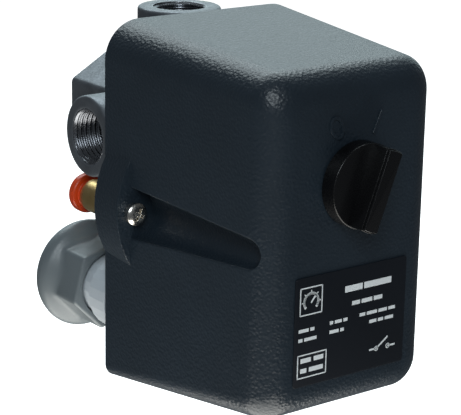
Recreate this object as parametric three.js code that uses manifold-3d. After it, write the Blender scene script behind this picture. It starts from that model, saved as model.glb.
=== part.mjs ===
// Pressure switch for a small air compressor, built as separate pieces.
// Millimetres, +Z up. The origin is the centre of the inlet's end face; the inlet points along +Y,
// the cover and its rotary knob face -Y, and X is the left-right direction.
import * as THREE from 'three';
import { mergeVertices } from 'three/addons/utils/BufferGeometryUtils.js';
import Module from 'manifold-3d';

const wasm = await Module();
wasm.setup();

// ---- Driving dimensions ----
const RAD = Math.PI / 180;
const SEAT_GAP = 0.1;                  // between faces that rest on each other
const CLEAR = 0.3;                     // around pieces that pass through others

const RIM_Y = -41;                     // rear rim of the cover
const CASE_Z = -14;                    // height of the cover's centre
const COVER = {
  halfWidth: 29, halfHeight: 44, depth: 57, wall: 2.2, edge: 7, rearTop: 9.3, rearLow: 3.2,
  frontCorner: 7,
};
const SIDE_DRAFT = Math.tan(4.87 * RAD);
const END_DRAFT = Math.tan(4.49 * RAD);
const FRONT_Y = RIM_Y - COVER.depth;

const EAR = { arc: 23.9, out: 32, front: -50.9, wall: 1.4, floor: 2 };
const CHANNEL = { rearX: 28.2, rearR: 6.2, frontX: 24.7, frontR: 3.5, frontY: -91.3, wall: 2 };
const COVER_SCREW = { x: 27.6, shank: 1.5, head: 2.7, headThick: 2, washer: 0.5, end: -42 };

const KNOB = { radius: 9.8, disc: 4, step: 0.8, bar: 5.3, barWidth: 4.5, tilt: 21 };
const MARK = { angle: 24, radius: 14.4, height: 5.6, width: 3.8, line: 0.7, raise: 0.35 };
const SHAFT_R = 4.2;
const ARM = { reach: 24, width: 5, front: -94.4, back: -91.4 };
const LABEL = { width: 32.7, height: 25.7, z: -32.5, thick: 0.2 };

const PLATE = { front: -45.5, side: 26, half: 41, topCorner: 7, lowCorner: 2.8 };
const GLAND = { x: 19.5, z: -39.2, collar: 9.5, collarEnd: -33.9, spigot: 8, spigotEnd: -24, bore: 6 };
const NUT = { front: -29.7, hexEnd: -19.2, across: 20, rim: 14, hole: 5.5, end: -10.4 };

const PORT_Y = -30.2;                  // axis of the side and top ports
const SIDE_FACE = 26.9;
const TOP_FACE = 29.65;
const BOSS_R = 10;
const TOP_BOSS_R = 10.3;
const THREAD_R = 5.9;                  // G 1/4 female thread, minor radius
const THREAD_CHAMFER = 6.6;
const THREAD_DEPTH = 13;
const PASSAGE_R = 3.5;
const HEX_ACROSS = 25.4;
const FLANGE = { front: -40.7, back: -36, radius: 19.5, recess: 16.9, chamber: 13 };
const FLANGE_SCREWS = [[-15.5, 18.5], [15.5, 18.5], [-8.5, -20.5], [8.5, -20.5]];

const UNLOADER = { x: -19, z: -18.1, radius: 4.2, end: -20.5, tube: 3.1 };
const COLLET = { flange: 5.1, thick: 3, sleeve: 3.9, front: -30 };

const LEVER = { front: -52, back: -50.4, pinY: -51.2, pinZ: -10, hub: 2.7 };
const PIN_R = 1.25;
const PIN_HOLE = 1.5;
const BRACKET = { outer: 17.5, sheet: 1.5, front: -77, low: -13.5, top: 24 };
const MAIN = { z: 0, coil: 6.8, wire: 0.9, rear: -52.4, front: -68.8, turns: 5, screw: 2.9 };
const DIFF = { z: 15.5, coil: 3.3, wire: 0.5, rear: -52.4, front: -67.8, turns: 7, screw: 1.9 };
const BLOCK = { half: 12.5, rear: -72, front: -86, low: -51, top: -25.2 };
const POLE_X = 6.5;
const UPPER_BAR_Z = -32.5;
const LOWER_BAR_Z = -39.5;
const OFF_ROD = { x: 8.6, z: -22.3, radius: 1.9, front: -90.6, rear: -55.6 };

// ---- Materials ----
const paint = (color, roughness, metalness) =>
  new THREE.MeshStandardMaterial({ color, roughness, metalness });
const darkPlastic = paint(0x2a2f35, 0.6, 0);
const blackPlastic = paint(0x0d0e10, 0.35, 0);
const labelFilm = paint(0x1c1f25, 0.5, 0);
const lightPlastic = paint(0xc4c8cc, 0.55, 0);
const greyPlastic = paint(0x646b70, 0.5, 0);
const castMetal = paint(0x6b7078, 0.5, 0.9);
const platedSteel = paint(0xc9c6bd, 0.3, 1);
const springSteel = paint(0x9a9ca0, 0.3, 1);
const brass = paint(0xb08b45, 0.3, 1);
const copper = paint(0xb87850, 0.35, 1);
const orangePlastic = paint(0xd2431a, 0.45, 0);
const rubber = paint(0x17181a, 0.8, 0);
const mouldedBlock = paint(0xd8d2c2, 0.6, 0);

// ---- Solids ----
function toSolid(geometry) {
  const bare = geometry.clone();
  bare.deleteAttribute('normal');
  bare.deleteAttribute('uv');
  const merged = mergeVertices(bare, 1e-4);
  return new wasm.Manifold(new wasm.Mesh({
    numProp: 3,
    vertProperties: Float32Array.from(merged.attributes.position.array),
    triVerts: Uint32Array.from(merged.index.array),
  }));
}

function toGeometry(solid) {
  const mesh = solid.getMesh();
  const geometry = new THREE.BufferGeometry();
  geometry.setAttribute('position', new THREE.BufferAttribute(mesh.vertProperties, 3));
  geometry.setIndex(new THREE.BufferAttribute(mesh.triVerts, 1));
  geometry.computeVertexNormals();
  return geometry;
}

const join = (...parts) => toGeometry(parts.map(toSolid).reduce((a, b) => a.add(b)));
const cut = (body, ...tools) =>
  toGeometry(tools.map(toSolid).reduce((a, b) => a.subtract(b), toSolid(body)));
const overlap = (a, b) => toGeometry(toSolid(a).intersect(toSolid(b)));

// A cylinder or cone along Y from y0 (radius r0) to y1 (radius r1).
function rod(r0, y0, y1, x = 0, z = 0, sides = 24, r1 = r0) {
  const shape = new THREE.CylinderGeometry(r1, r0, y1 - y0, sides);
  return shape.translate(x, (y0 + y1) / 2, z);
}

// The same along X or Z, from a distance a to a distance b.
const rodX = (r, a, b, y, z, sides = 24, r1 = r) =>
  rod(r, a, b, 0, 0, sides, r1).rotateZ(-Math.PI / 2).translate(0, y, z);
const rodZ = (r, a, b, x, y, sides = 24, r1 = r) =>
  rod(r, a, b, 0, 0, sides, r1).rotateX(Math.PI / 2).translate(x, y, 0);

function block(x0, x1, y0, y1, z0, z1) {
  const shape = new THREE.BoxGeometry(x1 - x0, y1 - y0, z1 - z0);
  return shape.translate((x0 + x1) / 2, (y0 + y1) / 2, (z0 + z1) / 2);
}

// A profile of [radius, y] pairs turned about Y. A profile drawn clockwise is reversed first.
function turned(profile, sides = 24) {
  const points = profile.map(([r, y]) => new THREE.Vector2(r, y));
  if (THREE.ShapeUtils.area(points) < 0) points.reverse();
  return new THREE.LatheGeometry(points, sides);
}

const washer = (inner, outer, y0, y1, sides = 24) =>
  turned([[inner, y0], [outer, y0], [outer, y1], [inner, y1], [inner, y0]], sides);

// A rounded rectangle drawn in X and Z, as a list of points.
function roundedOutline(halfX, halfZ, topRadius, steps = 4, lowRadius = topRadius) {
  const points = [];
  [[1, 1, 0], [-1, 1, 90], [-1, -1, 180], [1, -1, 270]].forEach(([sx, sz, start]) => {
    const radius = sz > 0 ? topRadius : lowRadius;
    for (let i = 0; i <= steps; i += 1) {
      const angle = (start + (90 * i) / steps) * RAD;
      points.push([
        sx * (halfX - radius) + radius * Math.cos(angle),
        sz * (halfZ - radius) + radius * Math.sin(angle),
      ]);
    }
  });
  return points;
}

// A closed solid through a stack of outlines that all have the same number of points.
function loft(sections) {
  const count = sections[0].points.length;
  const positions = [];
  const triangles = [];
  sections.forEach(({ y, points }) => points.forEach(([x, z]) => positions.push(x, y, z)));
  for (let s = 0; s + 1 < sections.length; s += 1) {
    for (let i = 0; i < count; i += 1) {
      const a = s * count + i;
      const b = s * count + ((i + 1) % count);
      triangles.push(a, b, a + count, b, b + count, a + count);
    }
  }
  const last = (sections.length - 1) * count;
  for (let i = 1; i + 1 < count; i += 1) {
    triangles.push(0, i + 1, i, last, last + i, last + i + 1);
  }
  const geometry = new THREE.BufferGeometry();
  geometry.setAttribute('position', new THREE.Float32BufferAttribute(positions, 3));
  geometry.setIndex(triangles);
  return geometry;
}

// A drafted box with rounded corners and a rounded front edge, open at no side.
function caseSolid(inset, rearY, frontY) {
  const edge = COVER.edge - inset;
  const section = (y, pull) => {
    const depth = RIM_Y - y;
    const [top, low] = [COVER.rearTop, COVER.rearLow].map((rear) => Math.max(
      rear + ((COVER.frontCorner - rear) * depth) / COVER.depth - inset - 0.55 * pull, 0.9));
    const halfX = COVER.halfWidth - depth * SIDE_DRAFT - inset - pull;
    const halfZ = COVER.halfHeight - depth * END_DRAFT - inset - pull;
    const outline = roundedOutline(halfX, halfZ, top, 4, low);
    return { y, points: outline.map(([x, z]) => [x, z + CASE_Z]) };
  };
  const sections = [section(rearY, 0)];
  const steps = 4;
  for (let i = 0; i <= steps; i += 1) {
    const angle = (i / steps) * 90 * RAD;
    sections.push(section(frontY + edge - edge * Math.sin(angle), edge * (1 - Math.cos(angle))));
  }
  return loft(sections);
}

// A helical compression spring along Y, with round wire.
class Helix extends THREE.Curve {
  constructor(radius, y0, y1, turns) {
    super();
    Object.assign(this, { radius, y0, y1, turns });
  }

  getPoint(t, target = new THREE.Vector3()) {
    const angle = 2 * Math.PI * this.turns * t;
    const y = this.y0 + (this.y1 - this.y0) * t;
    return target.set(this.radius * Math.cos(angle), y, this.radius * Math.sin(angle));
  }
}

function coilSpring(radius, wire, y0, y1, turns) {
  const section = new THREE.Shape();
  section.absarc(0, 0, wire, 0, 2 * Math.PI, false);
  const path = new Helix(radius, y0 + wire, y1 - wire, turns);
  const options = { steps: turns * 10, curveSegments: 3, extrudePath: path, bevelEnabled: false };
  return new THREE.ExtrudeGeometry(section, options);
}

// ---- Assembly ----
const model = new THREE.Group();

function add(name, geometry, material, x = 0, y = 0, z = 0) {
  const mesh = new THREE.Mesh(geometry, material);
  mesh.name = name;
  mesh.position.set(x, y, z);
  model.add(mesh);
  return mesh;
}

const SIDES = [['left', -1], ['right', 1]];

// ---- Cover with its ears, screwdriver channels and O / I marks ----
function earSolid(side, arc, out, y0, y1, halfSpan) {
  const centreX = side * (out - arc);
  const disc = rod(arc, y0, y1, centreX, CASE_Z, 60);
  const near = side * 20;
  const far = side * 40;
  const span = block(Math.min(near, far), Math.max(near, far), y0, y1, CASE_Z - halfSpan,
    CASE_Z + halfSpan);
  return overlap(disc, span);
}

function channelSolid(side, extra, rearY) {
  const length = EAR.front - CHANNEL.frontY;
  const lean = Math.atan2(CHANNEL.rearX - CHANNEL.frontX, length);
  const slope = (CHANNEL.rearR - CHANNEL.frontR) / length;
  const rearR = CHANNEL.rearR + slope * (rearY - EAR.front);
  const groove = rod(CHANNEL.frontR + extra, 0, rearY - CHANNEL.frontY, 0, 0, 18, rearR + extra);
  const end = new THREE.SphereGeometry(CHANNEL.frontR + extra, 18, 8);
  const tool = join(groove, end);
  return tool.rotateZ(-side * lean).translate(side * CHANNEL.frontX, CHANNEL.frontY, CASE_Z);
}

function markRing() {
  const outer = new THREE.Shape();
  outer.absellipse(0, 0, MARK.width / 2, MARK.height / 2, 0, 2 * Math.PI, false, 0);
  const inner = new THREE.Path();
  const slim = [MARK.width / 2 - MARK.line, MARK.height / 2 - MARK.line];
  inner.absellipse(0, 0, slim[0], slim[1], 0, 2 * Math.PI, true, 0);
  outer.holes.push(inner);
  const options = { depth: MARK.raise + 1, bevelEnabled: false, curveSegments: 5 };
  return new THREE.ExtrudeGeometry(outer, options).rotateX(Math.PI / 2);
}

function marks() {
  const top = FRONT_Y - MARK.raise;
  const ring = markRing().translate(0, top + MARK.raise + 1, MARK.radius);
  ring.rotateY(-MARK.angle * RAD);
  const bar = block(-MARK.line / 2, MARK.line / 2, top, top + MARK.raise + 1,
    MARK.radius - MARK.height / 2, MARK.radius + MARK.height / 2);
  bar.rotateY(MARK.angle * RAD);
  return [ring, bar];
}

function coverSolid() {
  const outer = caseSolid(0, RIM_Y, FRONT_Y);
  const ears = SIDES.map(([, s]) => earSolid(s, EAR.arc, EAR.out, EAR.front, RIM_Y, 18));
  const solid = join(outer, ...ears);
  const hollow = caseSolid(COVER.wall, RIM_Y + 1, FRONT_Y + COVER.wall);
  const floorBack = EAR.front + EAR.floor;
  const pockets = SIDES.map(([, s]) =>
    earSolid(s, EAR.arc - EAR.wall, EAR.out - EAR.wall, floorBack, RIM_Y + 1, 10));
  const walls = SIDES.map(([, s]) =>
    overlap(channelSolid(s, CHANNEL.wall, floorBack), solid));
  const shell = join(cut(solid, hollow, ...pockets), ...walls, ...marks());
  const channels = SIDES.map(([, s]) => overlap(channelSolid(s, 0, RIM_Y),
    block(-60, 60, FRONT_Y - 1, EAR.front, -60, 40)));
  const holes = SIDES.map(([, s]) =>
    rod(COVER_SCREW.shank + CLEAR, EAR.front - 1, RIM_Y, s * COVER_SCREW.x, CASE_Z, 16));
  return cut(shell, ...channels, ...holes, rod(SHAFT_R + CLEAR, FRONT_Y - 1, FRONT_Y + 4, 0, 0, 18));
}

add('cover', coverSolid(), darkPlastic);

const labelShape = roundedOutline(LABEL.width / 2, LABEL.height / 2, 0.8, 2);
add('label_plate', loft([
  { y: FRONT_Y - SEAT_GAP, points: labelShape },
  { y: FRONT_Y - SEAT_GAP - LABEL.thick, points: labelShape },
]), labelFilm, 0, 0, LABEL.z);

// ---- Rotary knob, its shaft with the selector arm, and the clip that holds them ----
function knobSolid() {
  const base = FRONT_Y - CLEAR;
  const top = base - KNOB.disc;
  const disc = turned([[0, top], [KNOB.radius - 0.8, top], [KNOB.radius, top + 0.8],
    [KNOB.radius, base], [0, base]], 32);
  const grip = overlap(rod(KNOB.radius - 0.2, top - KNOB.bar, top + 1, 0, 0, 32),
    block(-KNOB.barWidth / 2, KNOB.barWidth / 2, top - KNOB.bar, top + 1, -12, 12));
  const lowHalf = block(KNOB.barWidth / 2, 12, top - 1, base - KNOB.step, -12, 12);
  return join(cut(disc, lowHalf), grip).rotateY(KNOB.tilt * RAD);
}

function selectorSolid() {
  const shaft = rod(SHAFT_R, FRONT_Y - SEAT_GAP, ARM.back, 0, 0, 18);
  const arm = block(-ARM.width / 2, ARM.width / 2, ARM.front, ARM.back, -ARM.reach, 0);
  return join(shaft, arm).rotateY(KNOB.tilt * RAD);
}

const clipFront = FRONT_Y + COVER.wall + SEAT_GAP;
add('knob', knobSolid(), blackPlastic);
add('selector_arm', selectorSolid(), lightPlastic);
add('knob_clip', washer(SHAFT_R + 0.3, 6.6, clipFront, clipFront + 0.8, 18), springSteel);

// ---- Cover screws with their washers ----
function crossScrew(shank, head, headThick, shankLength, sides = 14) {
  const crown = headThick * 0.35;
  const body = turned([[0, -headThick], [head * 0.6, -headThick], [head, -headThick + crown],
    [head, 0], [shank, 0], [shank, shankLength], [0, shankLength]], sides);
  const arm = head * 0.62;
  const slot = head * 0.11;
  const deep = headThick * 0.6;
  return cut(body,
    block(-arm, arm, -headThick - 1, -headThick + deep, -slot, slot),
    block(-slot, slot, -headThick - 1, -headThick + deep, -arm, arm));
}

const washerFront = EAR.front - SEAT_GAP - COVER_SCREW.washer;
const headSeat = washerFront - SEAT_GAP;
SIDES.forEach(([side, s]) => {
  const x = s * COVER_SCREW.x;
  add(`screw_washer_${side}`, washer(COVER_SCREW.shank + 0.2, COVER_SCREW.head - 0.2, 0,
    COVER_SCREW.washer, 14), platedSteel, x, washerFront, CASE_Z);
  add(`cover_screw_${side}`, crossScrew(COVER_SCREW.shank, COVER_SCREW.head,
    COVER_SCREW.headThick, COVER_SCREW.end - headSeat), platedSteel, x, headSeat, CASE_Z);
});

// ---- Base frame: closes the cover and carries the glands, valve, flange and mechanism ----
function baseFrameSolid() {
  const outline = roundedOutline(PLATE.side, PLATE.half, PLATE.topCorner, 4, PLATE.lowCorner)
    .map(([x, z]) => [x, z + CASE_Z]);
  const plate = loft([{ y: RIM_Y, points: outline }, { y: PLATE.front, points: outline }]);
  const extras = [];
  const holes = [rod(FLANGE.chamber + 0.8, PLATE.front - 1, RIM_Y + 1)];
  SIDES.forEach(([, s]) => {
    const x = s * GLAND.x;
    const lugFront = EAR.front + EAR.floor + 2 * CLEAR;
    const lug = overlap(
      earSolid(s, EAR.arc - EAR.wall - CLEAR, EAR.out - EAR.wall - CLEAR, lugFront, RIM_Y, 9),
      block(Math.min(s * 22.8, s * 40), Math.max(s * 22.8, s * 40), lugFront, RIM_Y, -40, 20));
    extras.push(lug);
    extras.push(rod(7, RIM_Y - 0.5, RIM_Y + 1, x, GLAND.z, 20));
    extras.push(rod(GLAND.collar, RIM_Y + 0.4, GLAND.collarEnd, x, GLAND.z));
    extras.push(rod(GLAND.spigot, GLAND.collarEnd - 0.5, GLAND.spigotEnd, x, GLAND.z, 20));
    holes.push(rod(GLAND.bore, PLATE.front - 1, GLAND.spigotEnd + 1, x, GLAND.z, 20));
    holes.push(rod(COVER_SCREW.shank + CLEAR, -50, RIM_Y + 0.2, s * COVER_SCREW.x, CASE_Z, 12));
  });
  FLANGE_SCREWS.forEach(([x, z]) => holes.push(rod(2, PLATE.front - 1, RIM_Y + 1, x, z, 12)));
  holes.push(rod(3.3, PLATE.front - 1, RIM_Y + 1, UNLOADER.x, UNLOADER.z, 16));
  return cut(join(plate, ...extras), ...holes);
}

add('base_frame', baseFrameSolid(), lightPlastic);

// ---- Die-cast manifold with three side ports, the inlet and the mounting flange ----
function portTool(along) {
  const bore = rod(THREAD_R, -THREAD_DEPTH, 1, 0, 0, 20);
  const chamfer = rod(THREAD_R, -1, 0.5, 0, 0, 20, THREAD_CHAMFER + 0.5);
  return along(join(bore, chamfer));
}

function manifoldSolid() {
  const hexRadius = HEX_ACROSS / 2 / Math.cos(30 * RAD);
  const neck = rod(hexRadius, -26, 0, 0, 0, 6);
  const body = join(
    rod(FLANGE.radius, FLANGE.front, FLANGE.back, 0, 0, 32),
    block(-19.5, 19.5, FLANGE.front, FLANGE.back, 10, 23.5),
    block(-12.5, 12.5, FLANGE.front, FLANGE.back, -24.5, -10),
    rod(13, FLANGE.back - 1, -18),
    rodX(BOSS_R, -SIDE_FACE, SIDE_FACE, PORT_Y, 0, 28),
    rodZ(TOP_BOSS_R, -8, TOP_FACE, 0, PORT_Y, 28),
    neck,
  );
  const recess = FLANGE.front + 1.5;
  return cut(body,
    portTool((g) => g),
    portTool((g) => g.rotateZ(Math.PI / 2).translate(-SIDE_FACE, PORT_Y, 0)),
    portTool((g) => g.rotateZ(-Math.PI / 2).translate(SIDE_FACE, PORT_Y, 0)),
    portTool((g) => g.rotateX(Math.PI / 2).translate(0, PORT_Y, TOP_FACE)),
    rod(PASSAGE_R, FLANGE.front - 1, -5, 0, 0, 12),
    rodX(PASSAGE_R, -20, 20, PORT_Y, 0, 12),
    rodZ(PASSAGE_R, 0, 20, 0, PORT_Y, 12),
    rod(FLANGE.recess, FLANGE.front - 1, recess, 0, 0, 28),
    rod(FLANGE.chamber, FLANGE.front - 1, recess + 1.4),
    ...FLANGE_SCREWS.map(([x, z]) => rod(2.3, FLANGE.front - 1, FLANGE.back + 1, x, z, 12)));
}

add('manifold', manifoldSolid(), castMetal);

FLANGE_SCREWS.forEach(([x, z], i) => {
  const screw = crossScrew(1.7, 3.4, 2.2, 8, 12).rotateX(Math.PI);
  add(`flange_screw_${i + 1}`, screw, platedSteel, x, FLANGE.back + SEAT_GAP, z);
});

// ---- Diaphragm and the pressure plate that it pushes ----
const diaphragmFront = FLANGE.front + 0.15;
add('diaphragm', turned([[0, diaphragmFront], [13.6, diaphragmFront], [16.6, diaphragmFront],
  [16.6, diaphragmFront + 1.2], [12.4, diaphragmFront + 1.2], [11.6, diaphragmFront + 2],
  [10.4, diaphragmFront + 2], [9.6, diaphragmFront + 1.2], [0, diaphragmFront + 1.2]], 24),
rubber);

const plateRear = diaphragmFront - SEAT_GAP;
add('pressure_plate', turned([[0, LEVER.back + CLEAR], [2, LEVER.back + CLEAR],
  [2.6, plateRear - 4.5], [7, plateRear - 3], [13.2, plateRear - 2.4], [13.2, plateRear],
  [0, plateRear]], 20), platedSteel);

// ---- Spring bracket, rocker lever and its pin ----
function bracketSolid() {
  const { outer, sheet, front, low, top } = BRACKET;
  const foot = PLATE.front - SEAT_GAP;
  const inner = outer - sheet;
  const pieces = [block(-outer, outer, front, front + 1.6, -9, 22)];
  SIDES.forEach(([, s]) => {
    pieces.push(block(Math.min(s * inner, s * outer), Math.max(s * inner, s * outer), front, foot,
      low, top));
    pieces.push(block(Math.min(s * 10.5, s * outer), Math.max(s * 10.5, s * outer), foot - 1.6,
      foot, 15, top));
  });
  return cut(join(...pieces),
    rodX(PIN_HOLE, -20, 20, LEVER.pinY, LEVER.pinZ, 16),
    rod(MAIN.screw + CLEAR, front - 1, front + 3, 0, MAIN.z),
    rod(DIFF.screw + CLEAR, front - 1, front + 3, 0, DIFF.z, 20),
    ...FLANGE_SCREWS.slice(0, 2).map(([x, z]) => rod(2.1, foot - 3, foot + 1, x, z, 16)));
}

function leverSolid() {
  const { front, back, pinY, pinZ, hub } = LEVER;
  const plate = join(
    block(-13, 13, front, back, -14, 21),
    block(-6, 6, front, back, -40, -13),
    block(-19.6, -5, front, back, -20.4, -15.8),
    block(5, 11.5, front, back, -25.2, -19.4),
    rodX(hub, -13, 13, pinY, pinZ, 20));
  return cut(plate, rodX(PIN_HOLE, -14, 14, pinY, pinZ, 16));
}

add('spring_bracket', bracketSolid(), platedSteel);
add('rocker_lever', leverSolid(), platedSteel);
add('rocker_pin', rodX(PIN_R, -17.9, 17.9, 0, 0, 16), springSteel, 0, LEVER.pinY, LEVER.pinZ);

// ---- Adjusting screws, their nuts and springs ----
function adjuster(name, spring, headR, headThick, nutHalf, nutThick) {
  const seat = BRACKET.front - SEAT_GAP;
  const shankEnd = spring.rear - 4;
  const head = rod(headR, -headThick, 0, 0, 0, 20);
  const shank = rod(spring.screw, -0.5, shankEnd - seat, 0, 0, 14);
  const slot = block(-headR - 1, headR + 1, -headThick - 1, -headThick + 1.4, -0.6, 0.6);
  add(`${name}_screw`, cut(join(head, shank), slot), platedSteel, 0, seat, spring.z);
  const nut = cut(block(-nutHalf, nutHalf, -nutThick, 0, -nutHalf, nutHalf),
    rod(spring.screw + CLEAR, -nutThick - 1, 1, 0, 0, 14));
  add(`${name}_nut`, nut, brass, 0, spring.front - SEAT_GAP, spring.z);
  add(`${name}_spring`, coilSpring(spring.coil, spring.wire, spring.front, spring.rear,
    spring.turns), springSteel, 0, 0, spring.z);
}

adjuster('main', MAIN, 5, 3.6, 7.5, 3);
adjuster('differential', DIFF, 3.4, 2.6, 4, 2.4);

// ---- Contacts: moving bridges on the rocker, fixed contacts in the terminal block ----
const carrierRear = LEVER.front - SEAT_GAP;
const carrierFront = BLOCK.rear + 3.4;
add('contact_carrier', join(
  block(-5, 5, carrierFront, carrierRear, -38, -34),
  block(-10, 10, carrierFront, carrierFront + 4, -40.5, -31.5),
), mouldedBlock);

const bridgeRear = carrierFront - SEAT_GAP;
SIDES.forEach(([side, s]) => {
  const strip = block(-2.2, 2.2, bridgeRear - 0.8, bridgeRear, LOWER_BAR_Z - 1.6,
    UPPER_BAR_Z + 1.6);
  const tips = [LOWER_BAR_Z, UPPER_BAR_Z].map((z) =>
    rod(1.6, bridgeRear - 1.5, bridgeRear - 0.5, 0, z, 16));
  add(`contact_bridge_${side}`, join(strip, ...tips), copper, s * POLE_X);
});

function terminalBlockSolid() {
  const { half, rear, front, low, top } = BLOCK;
  const legs = SIDES.map(([, s]) => block(Math.min(s * 9.5, s * half), Math.max(s * 9.5, s * half),
    rear - 1, PLATE.front - SEAT_GAP, low, low + 6));
  const guide = block(4, half, rear - 8, rear, top - 1, OFF_ROD.z + 4.2);
  const tools = [rod(OFF_ROD.radius + CLEAR, rear - 10, rear + 2, OFF_ROD.x, OFF_ROD.z, 20)];
  SIDES.forEach(([, s]) => {
    const x = s * POLE_X;
    [[UPPER_BAR_Z, 4], [LOWER_BAR_Z, -4.5]].forEach(([z, drop]) => {
      tools.push(block(x - 2.7, x + 2.7, front - 1, rear + 1, z - 0.8, z + 0.8));
      tools.push(rod(1.9, front - 1, front + 8, x, z + drop, 16));
    });
  });
  return cut(join(block(-half, half, front, rear, low, top), ...legs, guide), ...tools);
}

add('terminal_block', terminalBlockSolid(), mouldedBlock);

function fixedContact(drop) {
  const tabFront = BLOCK.front - SEAT_GAP - 1.2;
  const tabBack = BLOCK.front - SEAT_GAP;
  const reach = drop + Math.sign(drop) * 3;
  const bar = block(-2.4, 2.4, tabFront, BLOCK.rear + 0.6, -0.5, 0.5);
  const tab = block(-2.4, 2.4, tabFront, tabBack, Math.min(-0.5, reach), Math.max(0.5, reach));
  const tip = rod(1.6, BLOCK.rear, BLOCK.rear + 1.2, 0, 0, 16);
  return cut(join(bar, tab, tip), rod(1.9, tabFront - 1, tabBack + 0.05, 0, drop, 16));
}

const TERMINALS = [[-POLE_X, UPPER_BAR_Z, 4], [POLE_X, UPPER_BAR_Z, 4],
  [-POLE_X, LOWER_BAR_Z, -4.5], [POLE_X, LOWER_BAR_Z, -4.5]];
TERMINALS.forEach(([x, z, drop], i) => {
  add(`fixed_contact_${i + 1}`, fixedContact(drop), copper, x, 0, z);
  const seat = BLOCK.front - 2 * SEAT_GAP - 1.2;
  add(`terminal_screw_${i + 1}`, crossScrew(1.6, 2.7, 2, 8, 10), platedSteel, x, seat, z + drop);
});

// ---- Earth bar with its screws ----
const earthFront = PLATE.front - SEAT_GAP - 1.2;
const EARTH_Z = -49;
add('earth_bar', cut(block(-8.5, 8.5, earthFront, PLATE.front - SEAT_GAP, -3.5, 3.5),
  rod(1.9, -50, -40, -4.6, 0, 16), rod(1.9, -50, -40, 4.6, 0, 16)), brass, 0, 0, EARTH_Z);
SIDES.forEach(([side, s]) => {
  add(`earth_screw_${side}`, crossScrew(1.6, 2.8, 2, 1.2, 10), platedSteel, s * 4.6,
    earthFront - SEAT_GAP, EARTH_Z);
});

// ---- Rod that the selector arm pushes to hold the contacts open ----
add('off_rod', join(rod(OFF_ROD.radius, OFF_ROD.front, OFF_ROD.rear, 0, 0, 20),
  rod(2.8, OFF_ROD.front, OFF_ROD.front + 1.6, 0, 0, 20)), lightPlastic, OFF_ROD.x, 0, OFF_ROD.z);

// ---- Unloader valve with its push-in tube connection ----
const unloaderAt = [UNLOADER.x, 0, UNLOADER.z];
add('unloader_valve', turned([
  [1.5, -45.2], [3, -45.2], [3, RIM_Y + SEAT_GAP], [UNLOADER.radius + 1, RIM_Y + SEAT_GAP],
  [UNLOADER.radius + 1, -37.5], [UNLOADER.radius, -37], [UNLOADER.radius, UNLOADER.end],
  [COLLET.sleeve - 0.2, UNLOADER.end], [COLLET.sleeve - 0.2, COLLET.front - 3.8],
  [1.5, COLLET.front - 3.8], [1.5, -45.2]], 18), brass, ...unloaderAt);
add('valve_stem', turned([[0, LEVER.back + CLEAR], [1.1, LEVER.back + CLEAR], [1.1, -33.6],
  [0, -33.6]], 10), platedSteel, ...unloaderAt);
const colletFace = UNLOADER.end + 1.5;
add('release_collet', turned([[UNLOADER.tube, COLLET.front], [COLLET.sleeve - 0.4, COLLET.front],
  [COLLET.sleeve - 0.4, colletFace], [COLLET.flange - 0.4, colletFace],
  [COLLET.flange, colletFace + 0.4], [COLLET.flange, colletFace + COLLET.thick - 1],
  [COLLET.flange - 0.8, colletFace + COLLET.thick], [UNLOADER.tube + 0.3,
    colletFace + COLLET.thick], [UNLOADER.tube, colletFace + COLLET.thick - 0.4],
  [UNLOADER.tube, COLLET.front]], 18), orangePlastic, ...unloaderAt);
add('tube_seal', washer(UNLOADER.tube, COLLET.sleeve - 0.35, COLLET.front - 3.5,
  COLLET.front - 1.6, 14), rubber, ...unloaderAt);

// ---- Cable glands: seal, clamping ring and dome nut on each spigot ----
function domeNutSolid() {
  const { front, hexEnd, across, rim, hole, end } = NUT;
  const hex = rod(across / 2 / Math.cos(30 * RAD), front, hexEnd + 1, 0, 0, 6);
  hex.rotateY(15 * RAD);
  const bell = turned([[0, -22], [9.4, -22], [rim - 0.8, hexEnd], [rim, -17.6],
    [rim - 0.6, -15.4], [rim - 3.4, -11.8], [rim - 6.6, end], [0, end]], 28);
  return cut(join(hex, bell), rod(GLAND.spigot + 0.4, front - 1, -16.7),
    rod(hole, front, end + 1, 0, 0, 20));
}

SIDES.forEach(([side, s]) => {
  const at = [s * GLAND.x, 0, GLAND.z];
  add(`gland_seal_${side}`, washer(4.8, 7.4, GLAND.spigotEnd + SEAT_GAP, -18.6, 18), rubber, ...at);
  add(`gland_clamp_${side}`, washer(5.6, 7.8, -18.4, -17, 18), greyPlastic, ...at);
  add(`gland_nut_${side}`, domeNutSolid(), greyPlastic, ...at);
});

export default model;
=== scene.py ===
"""Looks of a small compressor's pressure switch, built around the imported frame.

Shapes are written in millimetres in the CAD's own frame: the origin is the centre of the inlet's end
face, +Y points out of the inlet, -Y towards the knob, and +Z up.
"""
import math

import bmesh
import bpy
import numpy as np
from mathutils import Matrix, Vector


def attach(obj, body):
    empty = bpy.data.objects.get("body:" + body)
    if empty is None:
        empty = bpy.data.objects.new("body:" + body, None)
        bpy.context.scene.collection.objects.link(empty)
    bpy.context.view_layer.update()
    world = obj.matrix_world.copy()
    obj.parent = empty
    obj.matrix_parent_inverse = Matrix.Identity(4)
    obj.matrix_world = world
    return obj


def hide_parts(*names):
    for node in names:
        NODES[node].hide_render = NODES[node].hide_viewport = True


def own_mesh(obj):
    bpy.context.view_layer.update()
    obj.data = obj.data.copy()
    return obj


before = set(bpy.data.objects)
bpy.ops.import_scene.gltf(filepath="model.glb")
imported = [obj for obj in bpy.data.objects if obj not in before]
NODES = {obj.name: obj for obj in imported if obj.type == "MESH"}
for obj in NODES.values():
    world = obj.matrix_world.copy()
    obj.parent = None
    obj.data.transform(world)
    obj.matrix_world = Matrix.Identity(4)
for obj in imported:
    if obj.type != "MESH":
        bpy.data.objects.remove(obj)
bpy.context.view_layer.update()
MM = 0.001
TAU = 2 * math.pi

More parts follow.
